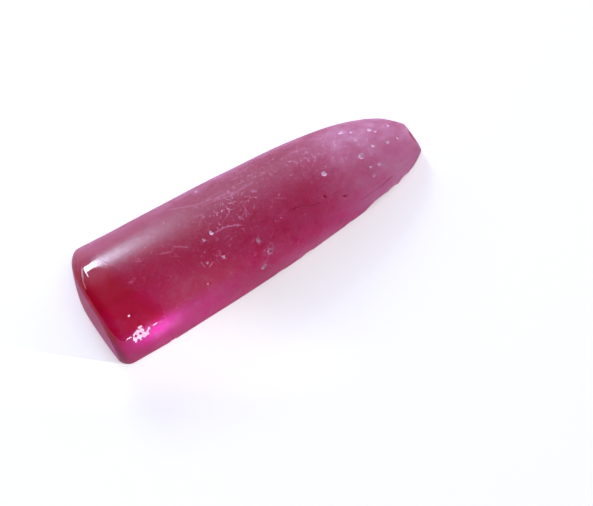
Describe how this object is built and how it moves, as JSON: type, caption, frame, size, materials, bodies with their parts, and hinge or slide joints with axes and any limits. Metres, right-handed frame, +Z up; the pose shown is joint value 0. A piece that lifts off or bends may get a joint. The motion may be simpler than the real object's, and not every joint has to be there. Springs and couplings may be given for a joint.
{
  "type": "raw ruby crystal",
  "caption": "Half of a bullet-shaped ruby boule, split lengthwise: glassy domed cap, frosted pitted flank, narrow broken seed end, flat split face.",
  "frame": {"origin": "centre of the bounding box's underside, on the plane of the split face", "axes": "+X along the growth axis from the domed cap to the broken seed end, +Z up from the split face through the rounded back, -Y the side that faces the picture's viewer"},
  "size_m": [0.0636, 0.0218, 0.0108],
  "materials": {
    "ruby": "clear deep red inside; frosted, lightly scratched and pitted mauve-pink skin; glossy cap; glassy broken faces"
  },
  "bodies": {
    "root": {"ruby_crystal": "ruby"}
  },
  "joints": []
}
